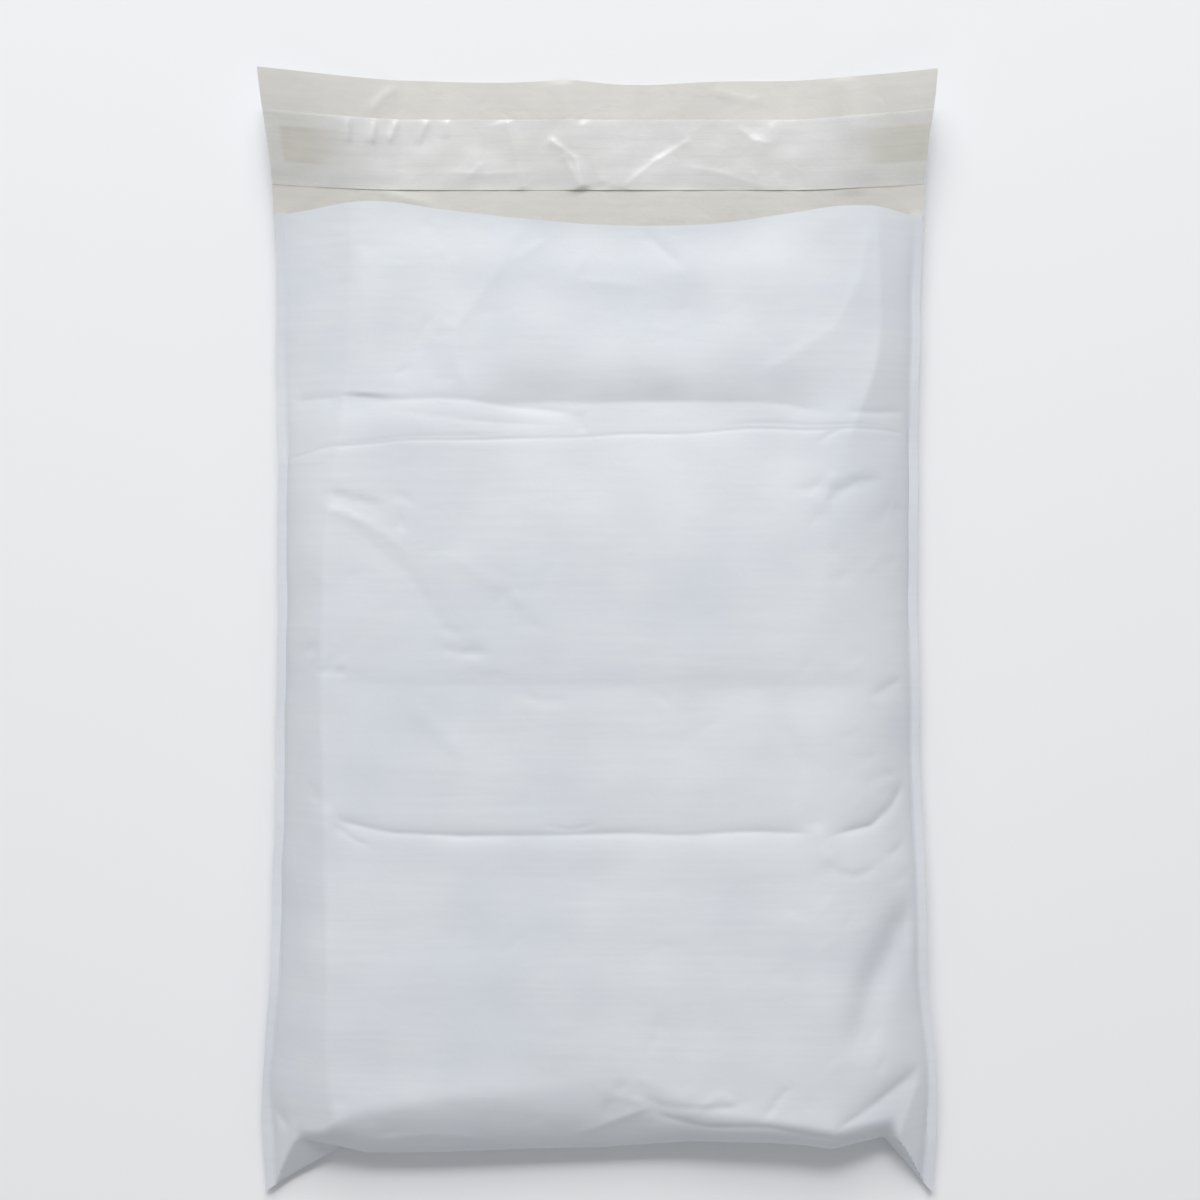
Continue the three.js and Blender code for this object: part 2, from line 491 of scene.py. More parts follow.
# Where the goods end, their own folds telegraph through the film, and the bag was once folded flat.
FRONT_CREASES = (
    # The sharp line that the bag was folded along in its carton, right across above the goods.
    Crease(
        (
            (-115, 63.3), (-112, 64.6), (-97, 68.5), (-69.6, 70.5),
            (-7.4, 71.6), (43, 73.4), (93.6, 74.9), (116, 74),
        ),
        -0.26, (0.7, 0.8), taper=0.02,
    ),
    Crease(((-100, 69.6), (-70, 71.9), (-30, 72.9)), -0.16, (0.6, 0.7)),
    Crease(((40, 75.2), (70, 76.2), (95, 76.6), (112, 76)), -0.2, (0.6, 0.7)),
    # The valley between the goods and the air in the head, sharp along its foot.
    Crease(((-52, 85), (-7.4, 84.6), (37, 84.6), (69, 83), (92, 80.2)), -1.6, (5.5, 24), taper=0.2),
    Crease(((-46, 86), (-7, 85.5), (37, 85.5), (69, 84), (88, 81)), -0.9, (7.5, 20), Fold.SOFT, 0.12),
    Crease(((-86, 84.8), (-66, 85.2), (-44, 84.6), (-20, 82), (-7, 80)), -0.4, (1.4, 1.8), taper=0.12),
    Crease(((-84, 83.4), (-60, 79), (-30, 77), (-7, 76)), -0.2, (1.6, 2.2), taper=0.3),
    Crease(((-114, 86), (-92, 85.3)), -0.5, (2, 2.5)),
    Crease(((88, 81.4), (102, 81), (117, 83)), -0.6, (2, 2)),
    Crease(((-7.4, 82), (-6.5, 77), (-5.9, 72.5)), -0.5, (1, 1.6)),
    # The left side's diagonal group.
    Crease(((-101, 53), (-88, 49.5), (-74, 45.4)), -0.55, (0.8, 4)),
    Crease(((-99, 46.5), (-90, 43.5), (-83, 39.5)), 0.6, (1.6, 2.2)),
    Crease(((-90, 43), (-76, 37), (-66, 28)), 0.45, (1.6, 4.5)),
    Crease(((-62, 33), (-44, 23), (-27, 12), (-17, 6)), 0.35, (5, 3)),
    Crease(((-94, 44), (-80, 32), (-68, 22), (-55, 2), (-42, -5)), -0.5, (5, 5)),
    Crease(((-21.7, 12), (-17, 27)), -0.2, (1, 1.2)),
    Crease(((-60, -3), (-49, -6), (-38, -6.5)), -0.55, (1.2, 2.2)),
    Crease(((-58, 4), (-50, 1)), -0.3, (1, 1.4)),
    # The right edge of the goods below the packing fold.
    Crease(((78, 47), (91.8, 54.5), (106, 57)), -1, (3, 5)),
    Crease(((79, 44), (83, 52), (86, 60)), 0.5, (3, 3)),
    # Across the middle, where the goods are folded over.
    Crease(
        ((-103, -18.5), (-71, -19), (0, -19.5), (60, -19.5), (104, -18.5)),
        -0.6, (5, 14), Fold.SOFT, 0.1,
    ),
    Crease(((-102, -13.8), (-95, -13), (-89, -14.5)), -0.5, (0.8, 1.4)),
    Crease(((-44, -14.1), (-33, -13.8)), -0.3, (0.8, 1.2)),
    Crease(((-30, -19.5), (-20, -23), (-8, -22.7)), -0.35, (0.7, 1.3)),
    Crease(((98, -22), (103, -20), (112, -15)), -0.7, (1.4, 3)),
    Crease(((-69, -22), (-45, -46)), 0.35, (3.5, 3.5), Fold.SOFT),
    Crease(((-24, -20), (-24, -68)), -0.35, (3, 3), Fold.SOFT),
    Crease(((62, -24), (72, -44), (70, -66)), -0.3, (3, 4), Fold.SOFT),
    # The sharper fold across the lower third.
    Crease(
        ((-97, -62), (-91, -66), (-73, -70), (-50, -71.4), (8, -71.4), (50, -71.2), (79, -70.8)),
        -0.95, (2.4, 3.6), taper=0.06,
    ),
    Crease(((-96, -66), (-86, -73), (-80, -75)), -0.4, (1, 2)),
    Crease(((-22, -67), (-10, -69.5), (2, -67.5)), -0.25, (1, 1.2)),
    Crease(((80, -72.4), (99, -69), (107, -62), (113, -50)), -1.3, (2.2, 2.6)),
    Crease(((78, -66), (80.5, -76), (84, -84)), 0.9, (2, 4)),
    Crease(((80, -79), (85, -84), (92, -86.4), (98, -84.5), (103, -80)), -0.5, (1, 1.6)),
    # The right edge below it, pulled towards the corner.
    Crease(((117, -95), (107, -111), (99, -127), (92, -154)), -2.4, (7, 6), Fold.SOFT, 0.25),
    Crease(((82, -179), (102, -167.5), (121, -155.5)), -1.5, (3, 9), taper=0.22),
    Crease(((122, -154), (114, -170), (107.5, -184)), 1, (6, 5), taper=0.2),
    # The light swell before the end comes down.
    Crease(((-98, -171), (-60, -166), (-15, -161)), 0.6, (9, 6), Fold.SOFT, 0.25),
    Crease(((-124, -166), (-112, -181)), -1.4, (2, 1.6)),
    # The end's own crinkles.
    Crease(((18, -166), (24, -172), (40, -176), (62, -177), (95, -182)), -0.9, (1, 2.6), taper=0.15),
    Crease(((-12, -180), (4, -174), (22, -167)), 1.2, (3, 2), taper=0.3),
    Crease(((10, -162), (24, -168), (46, -168.5), (60, -165)), -0.5, (0.8, 2)),
    Crease(((58, -176), (63, -168), (70, -160)), -0.6, (1.2, 1)),
    Crease(((34, -170), (44, -164), (52, -169)), 0.4, (1.2, 1.2)),
    Crease(((-2, -160), (21, -168)), 0.4, (2, 1.5)),
    Crease(((18, -150), (22, -141), (21, -134)), -0.3, (1.2, 1.2)),
    Crease(((-88, -183), (-60, -180), (-30, -182)), 0.5, (1.2, 1.5)),
    # The empty head: the ridge above the left weld, the air dome and its facets.
    Crease(((-84, 160), (-83, 122), (-84, 86)), 1, (9, 7), Fold.SOFT, 0.02),
    Crease(
        ((-27, 151), (-34, 134), (-42, 123), (-51, 112), (-52, 99), (-45, 86)),
        0.4, (3, 6), taper=0.1,
    ),
    Crease(((98, 150), (95, 129), (86, 111), (69, 99.5), (57, 94)), 0.4, (7, 3), taper=0.1),
    Crease(((1, 145), (-9, 130), (23, 126)), 0.2, (1.8, 3)),
    Crease(((-18, 144), (-32, 134)), 0.3, (2, 2)),
    Crease(((15, 148), (32, 133)), -0.4, (1.6, 2.4)),
    Crease(((-60, 118), (-66, 104)), -0.4, (1.6, 2)),
)

FLAP_CREASES = (
    Crease(((-12, 206), (-10, 186), (-6, 163)), 0.6, (4, 5), Fold.SOFT, 0.05),
    Crease(((14, 206), (13, 186), (8, 163)), 0.4, (3, 6), Fold.SOFT, 0.05),
    Crease(((-84, 191), (-80, 198), (-73, 204)), 0.5, (1.2, 2.5)),
    Crease(((40, 203), (52, 199), (63, 197)), 0.4, (2, 1.2)),
    Crease(((91, 206), (94, 186), (95, 162)), 0.5, (4, 5), Fold.SOFT, 0.05),
    Crease(((-60, 160), (-84, 164)), 0.5, (2, 2)),
)

LINER_CREASES = (
    Crease(((-91, 191), (-91.5, 180.5)), 0.8, (0.9, 1.7)),
    Crease(((-81, 191), (-83, 180.5)), 0.85, (0.9, 1.7)),
    Crease(((-73, 191), (-77, 181)), 0.75, (0.9, 1.5)),
    Crease(((-62, 191), (-67, 181)), 0.65, (0.9, 1.5)),
    Crease(((-56, 191), (-56, 183)), 0.5, (0.9, 1.3)),
    Crease(((-34, 191), (-28, 164)), 0.48, (1.35, 3.08), taper=0.05),
    Crease(((-20, 184), (-9, 176), (-4, 163)), 0.51, (1.2, 2.52), taper=0.1),
    Crease(((-14, 178), (-6, 164)), 0.39, (1.05, 1.4), taper=0.1),
    Crease(((-6, 191), (-4, 178), (2, 165)), 0.36, (1.8, 1.68), taper=0.08),
    Crease(((9, 164), (22, 175), (36, 184)), 0.39, (1.35, 3.36), taper=0.08),
    Crease(((50, 189), (57, 182), (66, 181)), 0.3, (1.2, 1.68)),
    Crease(((63, 190), (66, 180)), 0.24, (1.05, 1.4)),
    Crease(((28, 174), (45, 170), (65, 165)), 0.27, (1.5, 2.24)),
    Crease(((57, 172), (60, 164)), 0.3, (1.2, 1.4)),
    Crease(((65, 172), (68, 164)), 0.27, (1.2, 1.4)),
    Crease(((-60, 172), (-40, 170), (-22, 171)), 0.21, (1.2, 2.24)),
    Crease(((-50, 168), (-42, 175)), 0.21, (1.2, 1.4)),
)
LINER_SLACK = Ripple(0.09, (8.0, 34.0), 11)


@dataclass(frozen=True)
class Handling:
    """The small wrinkles that handling leaves, scattered by a seeded draw.

    Attributes:
        low, high: opposite corners of the patch that they are in.
        number: how many there are.
        length: the shortest and the longest.
        rise: the most that one sinks.
        lean: the direction that most of them run in, in degrees from X.
        scatter: how far, in degrees, their directions scatter about it.
        bow: how far each bends, as a share of half its length.
        highest: the most that one rises, as a share of the most that one sinks.
        left, right: the least and the most spread on each side.
        taper: the share of its length over which each end dies away.
    """

    low: Pair
    high: Pair
    number: int
    length: Pair = (5.0, 16.0)
    rise: float = 0.22
    lean: float = 10.0
    scatter: float = 24.0
    bow: float = 0.12
    highest: float = 0.6
    left: Pair = (0.6, 1.8)
    right: Pair = (0.6, 2.4)
    taper: float = 0.45

    def creases(self, draw: np.random.Generator) -> tuple[Crease, ...]:
        """Draws the wrinkles.

        Args:
            draw: the seeded generator that all the patches share.

        Returns:
            The patch's creases.
        """
        made = []
        for _ in range(self.number):
            x, y = draw.uniform(self.low, self.high)
            half = draw.uniform(*self.length) / 2
            turn = math.radians(self.lean + draw.normal(0, self.scatter))
            step = (half * math.cos(turn), half * math.sin(turn))
            rise = draw.uniform(-1, self.highest) * self.rise
            spread = (draw.uniform(*self.left), draw.uniform(*self.right))
            bow = draw.normal(0, self.bow) * half
            middle = (x - bow * math.sin(turn), y + bow * math.cos(turn))
            ends = ((x - step[0], y - step[1]), middle, (x + step[0], y + step[1]))
            made.append(Crease(ends, rise, spread, Fold.CRISP, self.taper))
        return tuple(made)


WRINKLE_PATCHES = (
    Handling((-112, 88), (-50, 150), 22, rise=0.3, lean=5),
    Handling((-45, 95), (95, 145), 12, (8, 24), 0.2, 5),
    Handling((-112, 20), (-70, 64), 18, rise=0.45, lean=-25),
    Handling((-70, -12), (20, 30), 14, rise=0.3, lean=-25),
    Handling((70, 30), (112, 80), 16, rise=0.45, lean=25),
    Handling((-112, -60), (-90, 20), 12, rise=0.4, lean=0),
    Handling((84, -50), (114, 30), 14, rise=0.4, lean=20),
    Handling((-80, -40), (90, -8), 14, (6, 16), 0.28, 0),
    Handling((-60, -65), (90, -30), 8, (8, 26), 0.2, 0),
    Handling((80, -120), (116, -50), 16, rise=0.5, lean=40),
    Handling((-100, -150), (80, -80), 14, (8, 26), 0.2, 0),
    Handling((84, -160), (118, -110), 10, rise=0.5, lean=60),
    Handling((0, -182), (92, -156), 34, (3, 11), 0.45, -10),
    Handling((-110, -184), (-10, -164), 12, (6, 16), 0.3, 5),
)
# Unevenness of the front, over its soft goods.
PILLOW = Ripple(0.16, (22.0, 70.0), 13)
# Unevenness of the back panel, the welds' height and their line in plan.
DENTS = Ripple(0.2, (26.0, 70.0), 17)
SEAM_WAVE = Ripple(0.35, (35.0, 110.0), 19)
EDGE_WAVE = Ripple(0.2, (18.0, 80.0), 23)


# ---- the film

# The top of the goods and of the empty head at each y, before the slopes down to the edges.
CROWN = Loft(
    (
        (-206, ((-120, 24), (120, 24))),
        (-178, ((-120, 25.5), (0, 26.5), (120, 25.5))),
        (-150, ((-110, 26), (0, 27.2), (110, 26))),
        (-72, ((-110, 23.5), (0, 25), (82, 24.4), (110, 23))),
        (-21, ((-110, 22.5), (0, 24), (82, 23.4), (110, 22))),
        (40, ((-110, 21), (0, 22.6), (82, 22), (110, 20.5))),
        (66, ((-110, 20), (0, 21.2), (82, 20.6), (110, 19.5))),
        (77, ((-110, 18.6), (-84, 19.8), (0, 20.6), (60, 20.4), (90, 19.6), (110, 18.4))),
        (85, ((-110, 17.6), (-84, 18.8), (0, 20.2), (60, 20), (90, 18.8), (110, 17.4))),
        (98, ((-110, 16.6), (-84, 18), (-60, 18.2), (-40, 19), (60, 19.4), (88, 18.6), (110, 16.6))),
        (112, ((-110, 15.8), (-84, 17.2), (-60, 17.2), (-40, 17.9), (20, 18.3), (90, 17.9), (110, 15.8))),
        (134, ((-110, 14.6), (-84, 16.2), (-60, 15.8), (-30, 16.3), (20, 16.6), (92, 16.6), (110, 14.8))),
        (
            155,
            (
                (-118, 12.4), (-84, 15.4), (-60, 14.6), (-25, 14.8), (20, 15), (60, 15.2), (93, 15.8),
                (118, 12.4),
            ),
        ),
    )
)


@dataclass
class MailerFilm:
    """The folded and welded film: front panel, back panel, mouth and flap, lying over its goods.

    It is laid out on a lattice. A column is a share of the half width, and a row is named for its y before
    the rows near the bottom fold and near the lip are drawn to those edges' true lines.

    Attributes:
        film: thickness, more than the real 0.06 so that each layer is a solid.
        column_crowd: how far the columns crowd towards the welds.
        row_gap: gap between the front's rows, away from close_bands.
        row_tally: points at which the rows' spacing is summed.
        close_bands: where rows lie closer: how much, easing in from and to, and out from and to.
        underside_crowd: how far the back's rows crowd towards the bottom fold.
        mouth_inset: gap between the pocket's walls and the welds.
        end_line, lip_line: the rows at the bottom fold and at the front's free edge.
        end_start, lip_start: where rows start to be drawn to the true lines of those edges.
        flap_root: where the flap's own folds start, and where they are full.
        tuck: how far inside the bottom fold the back leaves the floor.
        flat_body, flat_loss: share of the half width on the floor, and how much less it is at the flap.
        flat_change: where that change starts and ends.
        side_curl: how sharply the back curls up beside its flat part.
        seam_calm: where the welds start to wave, and where they do so in full.
        side_round: how sharply the front comes down to the welds.
        side_straight, head_straight: how straight that slope is beside the goods, and beside the head.
        head_change: where the change between them starts and ends.
        crease_fade: distance from the welds over which the front's creases die away.
        weld_fade: share of the slope over which the end's edge meets the weld.
        end_bulge: how round the filled end is, up to 1 for a quarter circle.
        end_round: how sharply it comes down where it isn't round.
        lip_edge, end_edge, flap_edge: y over x of the free edges and of the bottom fold.
        end_slope: length of the slope down to the bottom fold over x.
        pack_corners: where the filled end meets the two outstanding corners.
        ear_climb: how steeply those climb to it, left and right.
        left_slope, right_slope: width of the slopes from the goods to the welds over y.
        crown: the top of the goods and of the empty head.
    """

    film: float = 0.25
    weld: float = 3.3
    weld_columns: int = 4
    columns: int = 200
    column_crowd: float = 0.28
    row_gap: float = 1.35
    row_tally: int = 4000
    close_bands: tuple[tuple[float, ...], ...] = (
        (1.6, 60, 64, 76, 80),
        (0.8, 78, 82, 96, 100),
        (1.2, -77, -74, -68, -64),
        (0.8, -200, -195, -180, -165),
    )
    underside_rows: int = 44
    underside_crowd: float = 1.3
    pocket_rows: int = 14
    pocket_depth: float = 62.0
    mouth_inset: float = 1.0
    flap_rows: int = 46
    end_line: float = -187.0
    end_start: float = -150.0
    lip_line: float = 155.0
    lip_start: float = 112.0
    flap_root: Pair = (152.0, 164.0)
    tuck: float = 13.0
    flat_body: float = 0.8
    flat_loss: float = 0.22
    flat_change: Pair = (84.0, 200.0)
    side_curl: float = 1.3
    seam_calm: Pair = (-200.0, -160.0)
    side_round: float = 0.85
    side_straight: Pair = (0.55, 0.1)
    head_straight: float = 0.6
    head_change: Pair = (60.0, 90.0)
    crease_fade: float = 6.0
    weld_fade: float = 0.25
    end_bulge: float = 0.62
    end_round: float = 1.6
    left_edge: Profile = Profile(
        (
            (-205, 122.2), (-163, 122.9), (-134, 120.7), (-60, 118.6), (13, 117.3), (90, 117.6),
            (154, 118.7), (205, 122.8),
        )
    )
    right_edge: Profile = Profile(
        (
            (-205, 123.2), (-163, 124.3), (-134, 121.8), (-60, 119), (13, 117.6), (90, 117.9),
            (154, 119.2), (205, 122.9),
        )
    )
    seam_height: Profile = Profile(
        ((-205, 3.5), (-183, 5), (-150, 7), (-60, 6), (13, 6), (90, 6.8), (154, 9.4), (205, 20))
    )
    fold_height: Profile = Profile(
        ((-123, 2.4), (-108, 4), (-92, 7.5), (0, 9.5), (60, 11), (88, 10), (106, 4.8), (123, 2.4))
    )
    lip_edge: Profile = Profile(
        (
            (-119, 153.8), (-106, 155), (-92, 157), (-78, 157.4), (-54, 154.4), (-25, 151.2),
            (0, 149.2), (23, 148.7), (44, 149.6), (70, 153.2), (91, 156), (103, 155.8), (112, 154),
            (119, 153.2),
        )
    )
    end_edge: Knots = (
        (-122.5, -205), (-108, -196), (-93.6, -187.2), (-84, -189.2), (-57, -188.6),
        (-46, -188.2), (1, -187.1), (21, -185.6), (34, -184.6), (59, -184.9), (74, -185.6),
        (85, -187.3), (92, -186), (104.8, -184.2), (113, -193.4), (123, -205),
    )
    end_slope: Profile = Profile(
        (
            (-110, 5), (-100, 8), (-90, 17), (-60, 24), (-20, 27), (18, 28), (34, 18),
            (60, 12.5), (95, 11),
        )
    )
    pack_corners: Knots = ((-111.0, -182.0), (-93.6, -187.2), (104.8, -184.2), (107.4, -183.2))
    ear_climb: Pair = (0.8, 1.9)
    flap_edge: Profile = Profile(
        (
            (-122.7, 205.4), (-95.7, 205.3), (-73.8, 205.1), (-22, 204.7), (-11.6, 205.3),
            (-2, 204.6), (6.1, 203.8), (45.3, 204.8), (89, 205), (122.8, 204.7),
        )
    )
    left_slope: Profile = Profile(((-190, 28), (-150, 22), (-100, 19), (60, 18.6), (84, 22), (158, 25)))
    right_slope: Profile = Profile(((-190, 37), (-100, 34), (40, 30), (72, 23), (90, 16), (158, 14)))
    crown: Loft = CROWN

    def half_width(self, x: Array, y: Array) -> Array:
        """Gives half the bag's width on the side of each x."""
        side = np.sign(x) * self.left_edge(np.zeros(1))[0]
        return np.where(x < 0, self.left_edge(y), self.right_edge(y)) + EDGE_WAVE(side, y)

    def seam(self, x: Array, y: Array) -> Array:
        """Gives the height of the welds at each (x, y)."""
        return self.seam_height(y) + SEAM_WAVE(x, y) * ease(y, *self.seam_calm)

    def end_at(self, x: Array) -> Array:
        """Gives the bottom edge's y at each x."""
        places, values = np.array(self.end_edge).T
        return np.interp(x, places, values)

    def plan(self, share: Array, line: Array) -> tuple[Array, Array]:
        """Lays a lattice point in plan.

        Args:
            share: from -1 at the left edge to 1 at the right edge.
            line: the y that its row is named for, before the ends are drawn to their true edges.

        Returns:
            Its x and its y.
        """
        x = share * self.half_width(share, line)
        end = (self.end_at(x) - self.end_start) / (self.end_line - self.end_start)
        lip = (self.lip_edge(x) - self.lip_start) / (self.lip_line - self.lip_start)
        y = np.where(line < self.end_start, self.end_start + (line - self.end_start) * end, line)
        return x, np.where(line > self.lip_start, self.lip_start + (line - self.lip_start) * lip, y)

    def underside(self, x: Array, y: Array) -> Array:
        """Gives the back's outer face: flat where the goods press it down, rising to every edge.

        Args:
            x: across the bag.
            y: along it.

        Returns:
            The height at each (x, y).
        """
        half = self.half_width(x, y)
        flat = half * (self.flat_body - self.flat_loss * ease(y, *self.flat_change))
        side = np.clip((np.abs(x) - flat) / (half - flat), 0, 1) ** self.side_curl
        end = np.clip(1 - (y - self.end_at(x)) / self.tuck, 0, 1) ** 2
        weight = end / (end + side + 1e-9)
        height = self.seam(x, y) * (1 - weight) + self.fold_height(x) * weight - self.film
        lift = height * (1 - (1 - side) * (1 - end))
        return np.maximum(lift + self.flap_relief(x, y), 0) + np.maximum(DENTS(x, y), 0) * (1 - side)

    def flap_relief(self, x: Array, y: Array) -> Array:
        """Gives the flap's own soft folds.

        Args:
            x: across the bag.
            y: along it.

        Returns:
            The height at each (x, y).
        """
        lift = np.zeros(x.shape)
        on_flap = y > self.flap_root[0]
        lift[on_flap] = relief(FLAP_CREASES, x[on_flap], y[on_flap])
        return lift * ease(y, *self.flap_root)

    def front(self, x: Array, y: Array, creases: tuple[Crease, ...]) -> Array:
        """Gives the front panel's outer face.

        Args:
            x: across the bag.
            y: along it.
            creases: the folds that it carries.

        Returns:
            The height at each (x, y).
        """
        half = self.half_width(x, y)
        slope = np.where(x < 0, self.left_slope(y), self.right_slope(y))
        inward = np.clip((half - self.weld - np.abs(x)) / slope, 0, 1)
        side = (1 - (1 - inward) ** 2) ** self.side_round
        straight = np.where(x < 0, *self.side_straight)
        straight = straight + (self.head_straight - straight) * ease(y, *self.head_change)
        side += (inward - side) * straight
        drawn = self.lip_start + (y - self.lip_start) * (self.lip_line - self.lip_start) / (
            self.lip_edge(x) - self.lip_start
        )
        crown = self.crown(x, np.where(y > self.lip_start, drawn, y)) + PILLOW(x, y)
        seam = self.seam(x, y) + self.film
        folds = relief(creases, x, y) * ease(inward * slope, 0, self.crease_fade)
        top = seam + (crown - seam) * side + folds
        near_weld = 1 - ease(inward, 0, self.weld_fade)
        edge = self.fold_height(x) * (1 - near_weld) + seam * near_weld
        places, corners = np.array(self.pack_corners).T
        inner = (x > places[1]) & (x < places[2])
        pack_end = np.where(inner, self.end_at(x), np.interp(x, places, corners))
        climb = np.where(x < 0, *self.ear_climb)
        ear = np.minimum(top, edge + climb * (y - self.end_at(x)))
        root = np.minimum(top, edge + climb * (pack_end - self.end_at(x)))
        end = np.clip((y - pack_end) / self.end_slope(x), 0, 1)
        bulge = self.end_bulge * np.sqrt(1 - (1 - end) ** 2)
        bulge += (1 - self.end_bulge) * (1 - (1 - end) ** self.end_round)
        return np.where(y < pack_end, ear, root + (top - root) * bulge)

    def shares(self) -> Array:
        """Gives the lattice's columns: a few across each weld, and the rest closer towards it.

        Returns:
            Their shares of the half width, from -1 to 1.
        """
        inside = 1 - self.weld / self.left_edge(np.zeros(1))[0]
        even = np.linspace(-1, 1, self.columns + 1)
        crowd = self.column_crowd
        body = inside * ((1 - crowd) * even + crowd * np.sin(even * math.pi / 2))
        weld = np.linspace(inside, 1, self.weld_columns + 1)[1:]
        return np.concatenate([-weld[::-1], body, weld])

    def lines(self) -> Array:
        """Gives the front panel's rows, closer together where its sharp folds run across.

        Returns:
            The y that each is named for.
        """
        y = np.linspace(self.end_line, self.lip_line, self.row_tally)
        close = np.zeros(y.shape)
        for more, rise, full, fall, gone in self.close_bands:
            close += more * ease(y, rise, full) * (1 - ease(y, fall, gone))
        steps = np.cumsum(1 + close) * (y[1] - y[0]) / self.row_gap
        rows = int(steps[-1])
        return np.interp(np.linspace(steps[0], steps[-1], rows + 1), steps, y)

    def build(self) -> bpy.types.Object:
        """Makes the film as one closed skin.

        Returns:
            The film, standing for the bag's solid.
        """
        draw = np.random.default_rng(SEED)
        creases = FRONT_CREASES
        for patch in WRINKLE_PATCHES:
            creases += patch.creases(draw)
        shares, skin = self.shares(), Skin()

        # The front, with the welds in a finish of their own.
        share, line = np.meshgrid(shares, self.lines())
        x, y = self.plan(share, line)
        front = skin.grid(x, y, self.front(x, y, creases))
        across = self.weld_columns
        # The front, with the welds in a finish of their own, whose tone is painted light and shade.
        skin.fill(front[:, across:-across])
        skin.fill(front[:, : across + 1], WELDED)
        skin.fill(front[:, -across - 1 :], WELDED)

        # The flap's inner face.
        flap_x, flap_y = self.flap_plan(np.linspace(0, 1, self.flap_rows + 1))
        face = skin.grid(flap_x, flap_y, self.underside(flap_x, flap_y) + self.film)
        skin.fill(face, INSIDE)

        # The open pocket behind the mouth, and the lip.
        inner = np.flatnonzero(np.abs(x[-1]) < self.half_width(x[-1], y[-1]) - self.weld - self.mouth_inset)
        first, last = inner[0], inner[-1] + 1
        depth = np.linspace(self.lip_line - self.pocket_depth, self.lip_line, self.pocket_rows + 1)
        share, line = np.meshgrid(shares[first:last], depth)
        x, y = self.plan(share, line)
        ceiling = skin.grid(x, y, self.front(x, y, creases) - self.film)
        floor = skin.grid(x[:-1], y[:-1], self.underside(x[:-1], y[:-1]) + self.film)
        floor = np.concatenate([floor, face[:1, first:last]])
        skin.fill(ceiling, INSIDE, up=False)
        skin.fill(floor, INSIDE)
        skin.fill(np.stack([floor[0], ceiling[0]]), INSIDE)
        skin.fill(np.stack([ceiling[-1], front[-1, first:last]]), INSIDE)
        for wall in (0, -1):
            skin.fill(np.stack([floor[:, wall], ceiling[:, wall]]), INSIDE)
        skin.fill(np.stack([face[0, : first + 1], front[-1, : first + 1]]), INSIDE)
        skin.fill(np.stack([face[0, last - 1 :], front[-1, last - 1 :]]), INSIDE)

        # The back, and the edges that close the skin.
        lower_x, lower_y = self.underside_plan(shares)
        back = skin.grid(lower_x, lower_y, self.underside(lower_x, lower_y))
        skin.fill(back, up=False)
        skin.fill(np.stack([back[0], front[0]]))
        skin.fill(np.stack([back[-1], face[-1]]))
        for side in (0, -1):
            chain = np.concatenate([front[:, side], face[:, side]])
            self.join_side(skin, chain, back[:, side])
        return skin.build("mailer_film", [OUTER_FILM.build(), INNER_FILM.build(), WELD_FILM_PAINTED_LIGHT.build()])

    def flap_plan(self, way: Array) -> tuple[Array, Array]:
        """Lays rows in plan between the lip and the flap's free edge.

        Args:
            way: each row's share of the way, from 0 at the lip.

        Returns:
            The x and the y of every point.
        """
        share, way = np.meshgrid(self.shares(), way)
        x, lip = self.plan(share, np.full(share.shape, self.lip_line))
        y = lip + (self.flap_edge(share * self.half_width(share, lip)) - lip) * way
        return share * self.half_width(share, y) * way + x * (1 - way), y

    def underside_plan(self, shares: Array) -> tuple[Array, Array]:
        """Lays the back's rows in plan, from the bottom edge to the flap's free edge.

        Args:
            shares: the lattice's columns.

        Returns:
            The x and the y of every point.
        """
        lines = np.linspace(0, 1, self.underside_rows + 1) ** self.underside_crowd
        share, line = np.meshgrid(shares, self.end_line + (self.lip_line - self.end_line) * lines)
        x, y = self.plan(share, line)
        flap_x, flap_y = self.flap_plan(np.linspace(0, 1, self.flap_rows // 2 + 1)[1:])
        return np.concatenate([x, flap_x]), np.concatenate([y, flap_y])

    def join_side(self, skin: Skin, upper: Array, lower: Array) -> None:
        """Closes one welded side between the film's upper and lower faces, matched by y.

        Args:
            skin: the mesh under way.
            upper: point numbers down the upper face's side.
            lower: point numbers down the lower face's side.
        """
        points = np.concatenate(skin.points)
        i = j = 0
        while i < len(upper) - 1 or j < len(lower) - 1:
            step = j == len(lower) - 1 or (
                i < len(upper) - 1 and points[upper[i + 1], 1] <= points[lower[j + 1], 1]
            )
            if step:
                skin.faces.append((int(upper[i]), int(upper[i + 1]), int(lower[j])))
                i += 1
            else:
                skin.faces.append((int(upper[i]), int(lower[j + 1]), int(lower[j])))
                j += 1
            skin.finishes.append(OUTSIDE)

    def dress(self) -> bpy.types.Object:
        """Builds the film, hangs it under the root body and hides the CAD part that it replaces.

        Returns:
            The film.
        """
        piece = self.build()
        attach(piece, "root")
        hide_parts("mailer_bag")
        return piece


# ---- the closing strip


